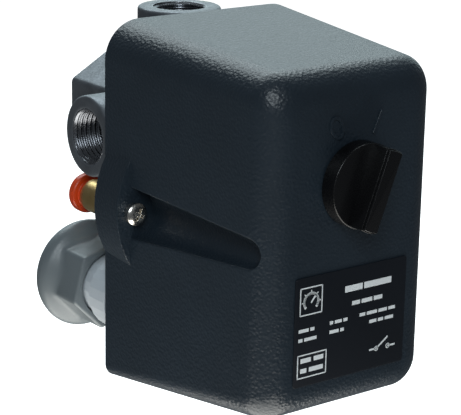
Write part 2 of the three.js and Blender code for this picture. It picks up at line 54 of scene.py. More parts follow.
# ---- Dimensions shared with the CAD model, in mm ----
RIM_Y, FRONT_Y, CASE_Z = -41.0, -98.0, -14.0
HALF_X, HALF_Z, WALL, EDGE = 29.0, 44.0, 2.2, 7.0
REAR_TOP_CORNER, REAR_LOW_CORNER, FRONT_CORNER = 9.3, 3.2, 7.0
SIDE_DRAFT, END_DRAFT = math.tan(math.radians(4.87)), math.tan(math.radians(4.49))
EAR_ARC, EAR_OUT, EAR_FRONT, EAR_WALL, EAR_FLOOR = 23.9, 32.0, -50.9, 1.4, 2.0
CHANNEL_REAR, CHANNEL_FRONT = (-50.9, 28.2, 6.2), (-91.3, 24.7, 3.5)  # y, x and radius
CHANNEL_WALL = 2.0
HOLE_R = 4.5
KNOB_TILT = math.radians(21)
KNOB_R, GRIP_R, GRIP_HALF = 9.8, 9.6, 2.25
MARK_R, MARK_TURN = 14.4, math.radians(24)  # place of the O and I round the knob's axis
PORT_Y, SIDE_FACE, TOP_FACE = -30.2, 26.9, 29.65
GLAND_X, GLAND_Z = 19.5, -39.2
UNLOADER_X, UNLOADER_Z = -19.0, -18.1
SCREW_X = 27.6
SCREW_END, SCREW_TURN = -42.0, math.radians(28)
WASHER, SEAT_GAP = 0.5, 0.1
FLOOR_DROP = 240  # the floor lies this far below the object, so that it takes no shadow
FLOOR_Z = CASE_Z - HALF_Z


# ---- Mesh tools ----
def new_piece(name, verts, faces, smooth=38.0, weighted=False):
    """A mesh object from points in mm, smooth except over edges sharper than the angle."""
    mesh = bpy.data.meshes.new(name)
    mesh.from_pydata((np.asarray(verts, float) * MM).tolist(), [], [list(map(int, f)) for f in faces])
    bm = bmesh.new()
    bm.from_mesh(mesh)
    bmesh.ops.remove_doubles(bm, verts=bm.verts, dist=1e-7)
    bmesh.ops.recalc_face_normals(bm, faces=bm.faces)
    bm.to_mesh(mesh)
    bm.free()
    mesh.shade_smooth()
    mesh.set_sharp_from_angle(angle=math.radians(smooth))
    obj = bpy.data.objects.new(name, mesh)
    bpy.context.scene.collection.objects.link(obj)
    if weighted:
        modifier = obj.modifiers.new("even_normals", "WEIGHTED_NORMAL")
        modifier.keep_sharp = True
        modifier.weight = 100
    return obj


def grid_faces(rows, columns, closed_rows=False, closed_columns=True):
    """Quads of a grid whose points run column by column within each row."""
    faces = []
    for r in range(rows if closed_rows else rows - 1):
        s = (r + 1) % rows
        for c in range(columns if closed_columns else columns - 1):
            d = (c + 1) % columns
            faces.append((r * columns + c, r * columns + d, s * columns + d, s * columns + c))
    return faces


def softened(points, radius, closed=False, steps=3):
    """The polyline with each corner cut back by up to the radius and rounded."""
    count = len(points)
    result = []
    for i, corner in enumerate(points):
        corner = np.array(corner, float)
        if not closed and i in (0, count - 1):
            result.append(corner)
            continue
        before, after = np.array(points[i - 1], float), np.array(points[(i + 1) % count], float)
        to_before, to_after = before - corner, after - corner
        length_a, length_b = np.linalg.norm(to_before), np.linalg.norm(to_after)
        back = min(radius, 0.45 * length_a, 0.45 * length_b)
        start, end = corner + to_before / length_a * back, corner + to_after / length_b * back
        for k in range(steps + 1):
            t = k / steps
            result.append((1 - t) ** 2 * start + 2 * t * (1 - t) * corner + t * t * end)
    return result


def revolved(radii, levels, angles, at=(0, 0)):
    """Rings of points about the line x, z = at. A radius or a y is one number or one for each angle."""
    level = np.ones(len(angles))
    return np.concatenate([
        np.stack([at[0] + r * np.cos(angles), y * level, at[1] + r * np.sin(angles)], 1)
        for r, y in zip(radii, levels)
    ])


def turned(profile, radius=0.25, sides=64, at=(0, 0), closed=False):
    """Points and faces of a profile of (radius, y) pairs turned about the line x, z = at."""
    line = softened(profile, radius, closed)
    angles = np.arange(sides) * TAU / sides
    radii, levels = zip(*line)
    return revolved(radii, levels, angles, at), grid_faces(len(line), sides, closed_rows=closed)


def merged(*parts):
    """One list of points and one of faces from several."""
    verts, faces, start = [], [], 0
    for part_verts, part_faces in parts:
        verts.append(np.asarray(part_verts, float))
        faces += [tuple(i + start for i in face) for face in part_faces]
        start += len(part_verts)
    return np.concatenate(verts), faces


def rotated_y(verts, angle, centre=(0, 0)):
    """Points turned about the line x, z = centre, from +Z towards +X."""
    out = np.array(verts, float)
    x, z = out[:, 0] - centre[0], out[:, 2] - centre[1]
    out[:, 0] = centre[0] + x * math.cos(angle) + z * math.sin(angle)
    out[:, 2] = centre[1] - x * math.sin(angle) + z * math.cos(angle)
    return out


def prism(outline, y_back, y_front, bevel=0.3, steps=3):
    """A closed solid from an outline of (x, z) points, with a rounded front edge."""
    outline = np.array(outline, float)
    rows, side = [], 1 if y_front < y_back else -1
    rows.append((y_back, 0.0))
    for k in range(steps + 1):
        angle = k / steps * math.pi / 2
        rows.append((y_front + side * bevel * (1 - math.sin(angle)), bevel * (1 - math.cos(angle))))
    count = len(outline)
    verts = []
    for y, inset in rows:
        ring = inset_outline(outline, inset)
        verts.append(np.stack([ring[:, 0], np.full(count, y), ring[:, 1]], 1))
    faces = grid_faces(len(rows), count)
    faces.append(tuple(range(count)))
    faces.append(tuple((len(rows) - 1) * count + i for i in range(count)))
    return np.concatenate(verts), faces


def inset_outline(outline, inset):
    """A convex outline moved inwards by the same distance all round."""
    if inset == 0:
        return outline
    area = 0.5 * sum(a[0] * b[1] - b[0] * a[1] for a, b in zip(outline, np.roll(outline, -1, 0)))
    turn = 1 if area > 0 else -1
    before, after = np.roll(outline, 1, 0), np.roll(outline, -1, 0)
    d1, d2 = outline - before, after - outline
    d1 /= np.linalg.norm(d1, axis=1)[:, None]
    d2 /= np.linalg.norm(d2, axis=1)[:, None]
    n1, n2 = np.stack([-d1[:, 1], d1[:, 0]], 1) * turn, np.stack([-d2[:, 1], d2[:, 0]], 1) * turn
    mid = n1 + n2
    mid /= (mid * n1).sum(1)[:, None]
    return outline + mid * inset


# ---- Camera, floor and lights ----
def set_up_camera():
    """A long lens from the front left and above, with a small roll and an off-centre aim."""
    position = Vector((-254.0, -387.1, 104.1)) * MM
    forward = Vector((0.600, 0.750, -0.279)).normalized()
    right = forward.cross(Vector((0, 0, 1))).normalized()
    up = right.cross(forward)
    roll = math.radians(1.48)
    right, up = (right * math.cos(roll) + up * math.sin(roll),
                 up * math.cos(roll) - right * math.sin(roll))
    aim_right, aim_up = math.tan(math.radians(1.395)), math.tan(math.radians(0.185))
    forward = (forward - right * aim_right + up * aim_up).normalized()
    right = (right - forward * right.dot(forward)).normalized()
    up = right.cross(forward)
    data = bpy.data.cameras.new("camera")
    data.lens = 140.2
    data.sensor_width = 36
    camera = bpy.data.objects.new("camera", data)
    bpy.context.scene.collection.objects.link(camera)
    matrix = Matrix((right, up, -forward)).transposed().to_4x4()
    matrix.translation = position
    camera.matrix_world = matrix
    bpy.context.scene.camera = camera


def area_light(name, place, aim, size, power, colour=(1, 1, 1)):
    data = bpy.data.lights.new(name, "AREA")
    data.shape = "RECTANGLE"
    data.size, data.size_y = size
    data.energy = power
    data.color = colour
    light = bpy.data.objects.new(name, data)
    bpy.context.scene.collection.objects.link(light)
    light.location = Vector(place)
    light.rotation_euler = (Vector(aim) - Vector(place)).to_track_quat("-Z", "Y").to_euler()
    return light


def floor_material():
    """A bright, even white, like paper lit from behind."""
    material = bpy.data.materials.new("floor_white")
    material.use_nodes = True
    shader = material.node_tree.nodes["Principled BSDF"]
    shader.inputs["Base Color"].default_value = (0.9, 0.9, 0.9, 1)
    shader.inputs["Roughness"].default_value = 0.9
    shader.inputs["Emission Color"].default_value = (1, 1, 1, 1)
    shader.inputs["Emission Strength"].default_value = 1.0
    return material


def set_up_stage():
    """A white floor well below the object, a dim world, and panels behind, above, beside and below."""
    half, z = 6000.0, FLOOR_Z - FLOOR_DROP
    corners = [(-half, -half, z), (half, -half, z), (half, half, z), (-half, half, z)]
    floor = new_piece("floor", corners, [(0, 1, 2, 3)])
    floor.data.materials.append(floor_material())
    floor.visible_glossy = False
    floor.visible_diffuse = False
    world = bpy.data.worlds.new("studio")
    world.use_nodes = True
    world.node_tree.nodes["Background"].inputs["Color"].default_value = (0.86, 0.93, 1.0, 1)
    world.node_tree.nodes["Background"].inputs["Strength"].default_value = 0.12
    bpy.context.scene.world = world
    bpy.context.scene.view_settings.view_transform = "Standard"
    lights = [
        area_light("overhead", (0.25, 0.50, 0.90), (0, -0.05, 0), (1.0, 0.8), 10,
                   (0.86, 0.97, 1.0)),
        area_light("back_wall", (0.84, 0.98, 0.60), (0, -0.05, 0.02), (1.8, 1.1), 7,
                   (0.80, 1.0, 1.03)),
        area_light("fill", (-0.58, -0.78, 0.55), (0, -0.07, 0), (0.35, 0.5), 5.2,
                   (0.86, 0.95, 1.0)),
        area_light("light_table", (-0.06, -0.10, -0.26), (-0.02, -0.06, -0.03), (0.34, 0.30), 1.35,
                   (1.0, 0.98, 0.92)),
    ]
    for light in lights:
        light.visible_camera = False


# ---- Materials ----
def start_material(name):
    material = bpy.data.materials.new(name)
    material.use_nodes = True
    nodes, links = material.node_tree.nodes, material.node_tree.links
    coordinates = nodes.new("ShaderNodeTexCoord")
    return material, nodes, links, nodes["Principled BSDF"], coordinates.outputs["Object"]


def noise(nodes, links, where, scale, detail=2.0):
    node = nodes.new("ShaderNodeTexNoise")
    node.inputs["Scale"].default_value = scale
    node.inputs["Detail"].default_value = detail
    links.new(where, node.inputs["Vector"])
    return node.outputs["Fac"]


def ranged(nodes, links, value, low, high, from_low=0.0, from_high=1.0):
    node = nodes.new("ShaderNodeMapRange")
    limits = {"From Min": from_low, "From Max": from_high, "To Min": low, "To Max": high}
    for socket, number in limits.items():
        node.inputs[socket].default_value = number
    links.new(value, node.inputs["Value"])
    return node.outputs["Result"]


def mixed(nodes, links, factor, first, second):
    node = nodes.new("ShaderNodeMix")
    node.data_type = "RGBA"
    node.inputs[6].default_value = (*first, 1)
    node.inputs[7].default_value = (*second, 1)
    links.new(factor, node.inputs["Factor"])
    return node.outputs[2]


def bumped(nodes, links, height, distance, strength, under=None):
    node = nodes.new("ShaderNodeBump")
    node.inputs["Strength"].default_value = strength
    node.inputs["Distance"].default_value = distance
    links.new(height, node.inputs["Height"])
    if under is not None:
        links.new(under, node.inputs["Normal"])
    return node.outputs["Normal"]


def plastic(name, colour, roughness, grain, scale, spread=0.12, specular=0.5):
    """Moulded plastic: a pebble grain, with its depth in mm and cells per metre, over a slow change of tone."""
    material, nodes, links, shader, where = start_material(name)
    tone = noise(nodes, links, where, 60, 3)
    darker = tuple(c * (1 - spread) for c in colour)
    lighter = tuple(min(c * (1 + spread), 1) for c in colour)
    share = ranged(nodes, links, tone, 0, 1, 0.3, 0.7)
    links.new(mixed(nodes, links, share, darker, lighter), shader.inputs["Base Color"])
    fine = noise(nodes, links, where, scale * 1.9, 2)
    gloss = ranged(nodes, links, fine, roughness - 0.07, roughness + 0.07, 0.3, 0.7)
    links.new(gloss, shader.inputs["Roughness"])
    shader.inputs["Specular IOR Level"].default_value = specular
    if grain:
        cells = nodes.new("ShaderNodeTexVoronoi")
        cells.feature = "SMOOTH_F1"
        cells.inputs["Scale"].default_value = scale
        cells.inputs["Smoothness"].default_value = 0.6
        links.new(where, cells.inputs["Vector"])
        pebbles = bumped(nodes, links, cells.outputs["Distance"], grain * MM, 1.0)
        links.new(bumped(nodes, links, fine, grain * 0.35 * MM, 1.0, pebbles), shader.inputs["Normal"])
    return material


def metal(name, colour, roughness, tint=None, grain=0.01, scale=900, metallic=1.0, painted_edge_highlight=0.0,
          streak=(1, 1, 1)):
    """Metal with slightly uneven tone and gloss, a fine surface and, where asked, a painted highlight: convex edges
    coloured lighter.
    """
    material, nodes, links, shader, where = start_material(name)
    stretch = nodes.new("ShaderNodeMapping")
    stretch.inputs["Scale"].default_value = streak
    links.new(where, stretch.inputs["Vector"])
    blotches = noise(nodes, links, where, 180, 4)
    darker = tint or tuple(c * 0.8 for c in colour)
    base = mixed(nodes, links, ranged(nodes, links, blotches, 0, 1, 0.35, 0.65), darker, colour)
    # Painted highlight: sharp convex edges get a lighter colour, standing in for light caught along them.
    if painted_edge_highlight:
        geometry = nodes.new("ShaderNodeNewGeometry")
        edges = ranged(nodes, links, geometry.outputs["Pointiness"], 0, painted_edge_highlight, 0.52, 0.60)
        highlight_mix = nodes.new("ShaderNodeMix")
        highlight_mix.data_type = "RGBA"
        highlight_mix.inputs[7].default_value = (*(min(c * 2.2 + 0.1, 1) for c in colour), 1)
        links.new(edges, highlight_mix.inputs["Factor"])
        links.new(base, highlight_mix.inputs[6])
        base = highlight_mix.outputs[2]
    links.new(base, shader.inputs["Base Color"])
    shader.inputs["Metallic"].default_value = metallic
    fine = noise(nodes, links, stretch.outputs["Vector"], scale, 3)
    gloss = ranged(nodes, links, fine, roughness - 0.08, roughness + 0.1, 0.3, 0.7)
    links.new(gloss, shader.inputs["Roughness"])
    links.new(bumped(nodes, links, fine, grain * MM, 1.0), shader.inputs["Normal"])
    return material


def make_materials():
    return {
        "cover_plastic": plastic("cover_plastic", (0.014, 0.022, 0.031), 0.36, 0.11, 1400, 0.1, 0.38),
        "knob_plastic": plastic("knob_plastic", (0.0035, 0.0035, 0.004), 0.28, 0.004, 2500, 0.1, 0.35),
        "label_film": plastic("label_film", (0.006, 0.008, 0.012), 0.42, 0.004, 2200, 0.08, 0.3),
        "label_print": plastic("label_print", (0.72, 0.76, 0.78), 0.45, 0.003, 3000, 0.05),
        "frame_plastic": plastic("frame_plastic", (0.50, 0.545, 0.585), 0.42, 0.012, 1800, 0.04),
        "gland_plastic": plastic("gland_plastic", (0.130, 0.152, 0.164), 0.38, 0.015, 1600, 0.07),
        # The cast metal's last number sets the painted highlight on its convex edges.
        "cast_metal": metal("cast_metal", (0.125, 0.138, 0.155), 0.42, (0.085, 0.095, 0.108),
                            0.03, 1300, 0.6, 0.4),
        "machined_metal": metal("machined_metal", (0.22, 0.23, 0.25), 0.26, None, 0.002, 2600, 1.0),
        "plated_steel": metal("plated_steel", (0.74, 0.71, 0.66), 0.20, (0.60, 0.57, 0.52), 0.004, 1500),
        "spring_steel": metal("spring_steel", (0.46, 0.47, 0.48), 0.28, None, 0.004, 1500),
        "brass": metal("brass", (0.62, 0.45, 0.20), 0.35, (0.50, 0.35, 0.14), 0.002, 1500),
        "copper": metal("copper", (0.72, 0.38, 0.24), 0.30, (0.5, 0.26, 0.15), 0.005, 1500),
        "collet_plastic": plastic("collet_plastic", (0.62, 0.055, 0.008), 0.36, 0.006, 2000, 0.08),
        "rubber": plastic("rubber", (0.012, 0.012, 0.013), 0.7, 0.02, 2500, 0.15, 0.3),
        "block_plastic": plastic("block_plastic", (0.62, 0.57, 0.46), 0.5, 0.02, 1600, 0.06),
    }


MATERIALS = {}
CARRIED_OVER = {
    "plated_steel": ["pressure_plate", "rocker_lever", "spring_bracket", "main_screw", "differential_screw",
                     "valve_stem", "screw_washer_left", "screw_washer_right", "earth_screw_left",
                     "earth_screw_right", *(f"flange_screw_{i}" for i in (1, 2, 3, 4)),
                     *(f"terminal_screw_{i}" for i in (1, 2, 3, 4))],
    "spring_steel": ["knob_clip", "rocker_pin"],
    "brass": ["main_nut", "differential_nut", "earth_bar"],
    "copper": ["contact_bridge_left", "contact_bridge_right",
               *(f"fixed_contact_{i}" for i in (1, 2, 3, 4))],
    "frame_plastic": ["base_frame", "selector_arm", "off_rod"],
    "block_plastic": ["terminal_block", "contact_carrier"],
    "rubber": ["diaphragm", "tube_seal", "gland_seal_left", "gland_seal_right"],
    "gland_plastic": ["gland_clamp_left", "gland_clamp_right"],
}


def dress_carried_over():
    """CAD nodes that stay: a procedural material, small rounded edges and smooth curved faces."""
    for slot, names in CARRIED_OVER.items():
        for name in names:
            node = NODES[name]
            node.data.materials.clear()
            node.data.materials.append(MATERIALS[slot])
            bevel = node.modifiers.new("edges", "BEVEL")
            bevel.width = 0.12 * MM
            bevel.segments = 2
            bevel.limit_method = "ANGLE"
            bevel.angle_limit = math.radians(40)
            bevel.harden_normals = True


def finished(obj, slot, body, *replaced, also=()):
    """Gives a piece its material, its body and the CAD nodes that it stands for."""
    for name in (slot, *also):
        obj.data.materials.append(MATERIALS[name])
    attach(obj, body)
    if replaced:
        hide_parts(*replaced)
    return obj


# ---- Cover ----
def channel_at(y, extra=0.0):
    """Centre x and radius of the screwdriver channel at a depth y, with its ball end."""
    (y0, x0, r0), (y1, x1, r1) = CHANNEL_REAR, CHANNEL_FRONT
    if y >= y1:
        t = (y - y0) / (y1 - y0)
        return x0 + (x1 - x0) * t, r0 + (r1 - r0) * t + extra
    reach = (r1 + extra) ** 2 - (y - y1) ** 2
    return x1, math.sqrt(max(reach, 0.0))


def ear_chord(y):
    """Half the height at which the ear's arc meets the cover's side."""
    side = HALF_X - (RIM_Y - y) * SIDE_DRAFT
    return math.sqrt(EAR_ARC ** 2 - (side - EAR_OUT + EAR_ARC) ** 2)


def side_curve(y, half_x, mode, inset):
    """Points (x, z) down the middle of the right side, from z > 0 to z < 0, for one depth of the cover."""
    ear_steps, edge_steps, arc_steps = 8, 5, 20
    if mode in ("ear", "pocket"):
        arc, out = EAR_ARC - inset, EAR_OUT - inset
        top = ear_chord(y) if mode == "ear" else 10.0
        zs = np.linspace(top, 6.75, ear_steps + 1)
        zs = np.concatenate([zs, np.linspace(6.75, 0, edge_steps + arc_steps // 2 + 1)[1:]])
        xs = np.maximum(np.sqrt(arc ** 2 - zs ** 2) + out - arc, half_x)
        xs[0] = half_x
        if mode == "pocket":
            zs[1] = top
            xs[1] = math.sqrt(arc ** 2 - top ** 2) + out - arc
        upper = np.stack([xs, zs], 1)
    else:
        top = ear_chord(EAR_FRONT) if mode == "channel" else 10.0
        cx, r = channel_at(y, inset)
        gap = cx - half_x
        chord = math.sqrt(r * r - gap * gap) if r > abs(gap) else 0.0
        cut = min(0.5 if mode == "channel" else 0.2, chord / 2)
        start = max(chord + cut, 0.4)
        line = [(half_x, z) for z in np.linspace(top, start, ear_steps + 1)]
        if chord > 0:
            phi = math.acos(max(-1, min(1, gap / r)))
            begin, corner = np.array([half_x, chord + cut]), np.array([half_x, chord])
            phi_end = phi - cut / r
            end = np.array([cx - r * math.cos(phi_end), r * math.sin(phi_end)])
            for k in range(1, edge_steps + 1):
                t = k / edge_steps
                line.append(tuple((1 - t) ** 2 * begin + 2 * t * (1 - t) * corner + t * t * end))
            for k in range(1, arc_steps // 2 + 1):
                angle = phi_end * (1 - k / (arc_steps // 2))
                line.append((cx - r * math.cos(angle), r * math.sin(angle)))
        else:
            line += [(half_x, z) for z in np.linspace(start, 0, edge_steps + arc_steps // 2 + 1)[1:]]
        upper = np.array(line, float)
    lower = upper[:-1][::-1] * (1, -1)
    return np.concatenate([upper, lower])


def cover_ring(y, inset=0.0, pull=0.0, mode="channel", trim=0.0, ear_trim=0.0):
    """One closed outline of the cover at a depth y. Trim draws it all in, and ear_trim only the ears."""
    depth = RIM_Y - y
    half_x = HALF_X - depth * SIDE_DRAFT - inset - pull - trim
    half_z = HALF_Z - depth * END_DRAFT - inset - pull - trim
    extra = {"ear": trim + ear_trim, "pocket": EAR_WALL, "channel": 0.0, "rib": CHANNEL_WALL}[mode]
    middle = side_curve(y, half_x, mode, extra)
    ends = []
    for rear in (REAR_TOP_CORNER, REAR_LOW_CORNER):
        corner = max(rear + (FRONT_CORNER - rear) * depth / (RIM_Y - FRONT_Y) - inset - 0.55 * pull, 0.9)
        flat = [(x, half_z) for x in np.linspace(0, half_x - corner, 7)[:-1]]
        bend = [(half_x - corner + corner * math.cos(a), half_z - corner + corner * math.sin(a))
                for a in np.linspace(math.pi / 2, 0, 11)]
        straight = [(half_x, z) for z in np.linspace(half_z - corner, middle[0][1], 7)[1:-1]]
        ends.append(np.array(flat + bend + straight))
    right = np.concatenate([ends[0], middle, ends[1][::-1] * (1, -1)])
    left = right[1:-1][::-1] * (-1, 1)
    ring = np.concatenate([right, left])
    return np.stack([ring[:, 0], np.full(len(ring), y), ring[:, 1] + CASE_Z], 1)


def hole_ring(ring, y, radius):
    """A ring round the shaft hole, with one point in line with each of the outline's."""
    flat = ring[:, [0, 2]]
    unit = flat / np.linalg.norm(flat, axis=1)[:, None]
    return np.stack([unit[:, 0] * radius, np.full(len(ring), y), unit[:, 1] * radius], 1)


def rounded_stations(inset, front, steps, mode):
    """Outlines that carry the cover's sides round into its front."""
    edge = EDGE - inset
    rings = []
    for k in range(steps + 1):
        angle = k / steps * math.pi / 2
        y = front + edge - edge * math.sin(angle)
        rings.append(cover_ring(y, inset, edge * (1 - math.cos(angle)), mode))
    return rings


def cover_shell():
    """The cover's skin: its outside from rim to shaft hole, then its inside back to the rim."""
    rings = [cover_ring(RIM_Y, mode="ear", trim=0.3), cover_ring(RIM_Y - 0.08, mode="ear", trim=0.1),
             cover_ring(RIM_Y - 0.3, mode="ear")]
    rings += [cover_ring(y, mode="ear") for y in np.linspace(RIM_Y - 1.2, EAR_FRONT + 0.5, 5)]
    rings += [cover_ring(EAR_FRONT + 0.35, mode="ear"), cover_ring(EAR_FRONT + 0.1, mode="ear", ear_trim=0.09),
              cover_ring(EAR_FRONT, mode="ear", ear_trim=0.3), cover_ring(EAR_FRONT, mode="channel"),
              cover_ring(EAR_FRONT - 0.3, mode="channel")]
    front_start = FRONT_Y + EDGE
    rings += [cover_ring(y, mode="channel") for y in np.linspace(EAR_FRONT - 1.5, front_start + 0.6, 17)]
    rings += rounded_stations(0.0, FRONT_Y, 26, "channel")
    last = rings[-1]
    centre = np.array([0.0, FRONT_Y, CASE_Z])
    inward = centre + (last - centre) * 0.94
    rings += [inward, hole_ring(last, FRONT_Y, HOLE_R + 0.25), hole_ring(last, FRONT_Y + 0.25, HOLE_R)]
    inner_front = FRONT_Y + WALL
    floor = EAR_FRONT + EAR_FLOOR
    inner = [cover_ring(RIM_Y, WALL, mode="pocket"), cover_ring(RIM_Y - 3, WALL, mode="pocket"),
             cover_ring(floor, WALL, mode="pocket"), cover_ring(floor, WALL, mode="rib")]
    inner += [cover_ring(y, WALL, mode="rib")
              for y in np.linspace(floor - 1, inner_front + EDGE - WALL + 0.5, 12)]
    inner += rounded_stations(WALL, inner_front, 10, "rib")
    inner += [hole_ring(inner[-1], inner_front, HOLE_R)]
    rings += inner[::-1]
    columns = len(rings[0])
    verts = np.concatenate(rings)
    faces = grid_faces(len(rings), columns, closed_rows=True)
    return verts, faces


def front_mark(outline, hole, angle, top):
    """A raised figure on the front, from an outline and an optional hole, turned about the knob's axis."""
    back = FRONT_Y + 0.25
    if hole is None:
        verts, faces = prism(outline, back, top, 0.12)
    else:
        outer, inner = np.array(outline), np.array(hole)
        rows = [(outer, back), (outer, top + 0.12), (outer * 0.975 + inner * 0.025, top + 0.03),
                (outer * 0.85 + inner * 0.15, top), (outer * 0.15 + inner * 0.85, top),
                (outer * 0.025 + inner * 0.975, top + 0.03), (inner, top + 0.12), (inner, back)]
        verts = np.concatenate([np.stack([o[:, 0], np.full(len(o), y), o[:, 1]], 1) for o, y in rows])
        faces = grid_faces(len(rows), len(outer), closed_rows=True)
    return rotated_y(verts, angle), faces


def cover_marks():
    """The O and the I on either side of the knob."""
    top = FRONT_Y - 0.35
    angles = np.linspace(0, TAU, 40, endpoint=False)
    half, line = 2.8, 0.35
    outer = np.stack([1.9 * np.cos(angles), MARK_R + half * np.sin(angles)], 1)
    inner = np.stack([1.2 * np.cos(angles), MARK_R + 2.1 * np.sin(angles)], 1)
    ring = front_mark(outer, inner, -MARK_TURN, top)
    bar = [(-line, MARK_R - half), (line, MARK_R - half), (line, MARK_R + half), (-line, MARK_R + half)]
    return merged(ring, front_mark(bar, None, MARK_TURN, top))


def make_cover():
    cover = new_piece("cover_shell", *merged(cover_shell(), cover_marks()), smooth=27, weighted=True)
    finished(cover, "cover_plastic", "cover", "cover")


# ---- Knob ----
def make_knob():
    """A round knob with a low step over one side, a thick half, and a crowned grip bar across it."""
    base, top, front = FRONT_Y - 0.3, FRONT_Y - 4.3, FRONT_Y - 9.6
    step = base - 0.8
    disc = turned([(0, base), (KNOB_R, base), (KNOB_R, base - 0.6), (GRIP_R, step), (0, step)], 0.08)
    edge = math.acos(GRIP_HALF / KNOB_R)
    sweep = np.linspace(edge, TAU - edge, 65)
    thick_half = prism([(KNOB_R * math.cos(a), KNOB_R * math.sin(a)) for a in sweep], base, top, 0.3)
    limit = math.acos(GRIP_HALF / GRIP_R)
    arc = np.linspace(limit, math.pi - limit, 13)
    upper = [(GRIP_R * math.cos(a), GRIP_R * math.sin(a)) for a in arc]
    outline = upper + [(-x, -z) for x, z in upper]
    bar = prism(outline, top + 0.4, front + 0.7, 0.15)
    crown = prism(inset_outline(np.array(outline), 0.3), front + 1.0, front, 0.2)
    verts, faces = merged(disc, thick_half, bar, crown)
    knob = new_piece("knob_grip", rotated_y(verts, KNOB_TILT), faces, smooth=46)
    bevel = knob.modifiers.new("edges", "BEVEL")
    bevel.width, bevel.segments = 0.14 * MM, 2
    bevel.limit_method, bevel.angle_limit = "ANGLE", math.radians(46)
    finished(knob, "knob_plastic", "knob", "knob")


# ---- Label ----
def flat_shape(points, y):
    """A thin raised shape from (across, up) points on the label."""
    return prism(points, y + 0.05, y - 0.035, 0.02, 1)


def bar_shape(x0, z0, width, height, y):
    """A plain bar on the label, from its lower left corner."""
    x1, z1 = x0 + width, z0 + height
    return flat_shape([(x0, z0), (x1, z0), (x1, z1), (x0, z1)], y)


def stroke(points, width, y, closed=False):
    """A line of even width through points, as a chain of four-cornered pieces."""
    points = [np.array(p, float) for p in points]
    pairs = list(zip(points, points[1:] + ([points[0]] if closed else [])))
    parts = []
    for a, b in pairs:
        along = (b - a) / np.linalg.norm(b - a)
        across = np.array([-along[1], along[0]]) * width / 2
        a, b = a - along * width * 0.2, b + along * width * 0.2
        parts.append(flat_shape([a - across, b - across, b + across, a + across], y))
    return parts


def arc_points(cx, cz, radius, start, end, steps=24):
    angles = np.radians(np.linspace(start, end, steps + 1))
    return [(cx + radius * math.cos(a), cz + radius * math.sin(a)) for a in angles]


def make_label():
    """A dark film with generic white bars and simple diagrams. No lettering."""
    back, front = FRONT_Y - 0.08, FRONT_Y - 0.3
    half_w, half_h, corner = 16.35, 12.85, 0.8
    outline = []
    for sx, sz, start in ((1, 1, 0), (-1, 1, 90), (-1, -1, 180), (1, -1, 270)):
        for angle in np.radians(np.linspace(start, start + 90, 6)):
            outline.append((sx * (half_w - corner) + corner * math.cos(angle),
                            sz * (half_h - corner) + corner * math.sin(angle)))
    film = prism(outline, back, front, 0.06)
    marks = []
    marks += stroke([(-14.9, 4.1), (-8.7, 4.1), (-8.7, 10.4), (-14.9, 10.4)], 0.3, front, True)
    marks += stroke(arc_points(-11.8, 7.0, 2.0, -40, 220), 0.62, front)
    marks += stroke([(-11.8, 6.8), (-10.5, 8.4)], 0.45, front)
    for angle in (0, 45, 90, 135, 180):
        c, s = math.cos(math.radians(angle)), math.sin(math.radians(angle))
        marks += stroke([(-11.8 + 2.4 * c, 7.0 + 2.4 * s), (-11.8 + 2.7 * c, 7.0 + 2.7 * s)], 0.25, front)
    rows = [(-2.0, 7.2, 1.5, (5.2, 8.2)), (0.2, 3.8, 1.0, (2.4, 3.2, 2.6)),
            (2.6, 0.6, 0.8, (1.7, 3.1, 2.6, 2.0)), (5.6, -1.6, 0.8, (2.2, 1.6, 2.6)),
            (-6.2, 0.4, 0.8, (1.0, 2.1, 1.2)), (-6.2, -1.8, 0.8, (2.7, 1.1)),
            (-15.2, 0.1, 0.8, (2.9, 1.2)), (-15.2, -2.1, 0.8, (1.2, 3.6))]
    for x, z, height, widths in rows:
        for width in widths:
            marks.append(bar_shape(x, z, width, height, front))
            x += width + 0.45
    marks += stroke([(-15.2, -10.7), (-7.0, -10.7), (-7.0, -5.3), (-15.2, -5.3)], 0.3, front, True)
    for x, z, width in ((-14.4, -7.2, 3.0), (-10.6, -7.2, 2.8), (-14.4, -9.6, 1.8), (-11.9, -9.6, 4.1)):
        marks.append(bar_shape(x, z, width, 1.1, front))
    marks += stroke([(6.0, -8.2), (8.1, -8.2), (11.4, -5.9)], 0.45, front)
    marks += stroke([(11.6, -8.2), (13.7, -8.2)], 0.45, front)
    marks += stroke(arc_points(8.1, -8.2, 0.5, 0, 330, 10), 0.3, front, True)
    marks += stroke(arc_points(11.6, -8.2, 0.5, 0, 330, 10), 0.3, front, True)
    printed = merged(*marks)
    verts, faces = merged(film, printed)
    verts = verts + (0, 0, -32.5)
    label = new_piece("label_face", verts, faces, smooth=30)
    finished(label, "label_film", "cover", "label_plate", also=("label_print",))
    top = (front - 0.01) * MM
    for polygon in label.data.polygons:
        if max(label.data.vertices[i].co.y for i in polygon.vertices) < top:
            polygon.material_index = 1


# ---- Rounded solids from a distance function ----
def smooth_min(a, b, k):
    h = np.maximum(k - np.abs(a - b), 0) / k
    return np.minimum(a, b) - h * h * k / 4


def smooth_max(a, b, k):
    return -smooth_min(-a, -b, k)


def rounded_pair(a, b, edge):
    """Where two slabs of distance meet, with a rounded edge."""
    qa, qb = a + edge, b + edge
    return np.hypot(np.maximum(qa, 0), np.maximum(qb, 0)) + np.minimum(np.maximum(qa, qb), 0) - edge


def disc_field(radial, along, radius, low, high, edge):
    return rounded_pair(radial - radius, np.abs(along - (low + high) / 2) - (high - low) / 2, edge)


def box_field(x, y, z, low, high, edge):
    centre, half = (np.array(low) + np.array(high)) / 2, (np.array(high) - np.array(low)) / 2
    q = [np.abs(v - c) - h + edge for v, c, h in zip((x, y, z), centre, half)]
    outside = np.sqrt(sum(np.maximum(v, 0) ** 2 for v in q))
    return outside + np.minimum(np.maximum(np.maximum(q[0], q[1]), q[2]), 0) - edge


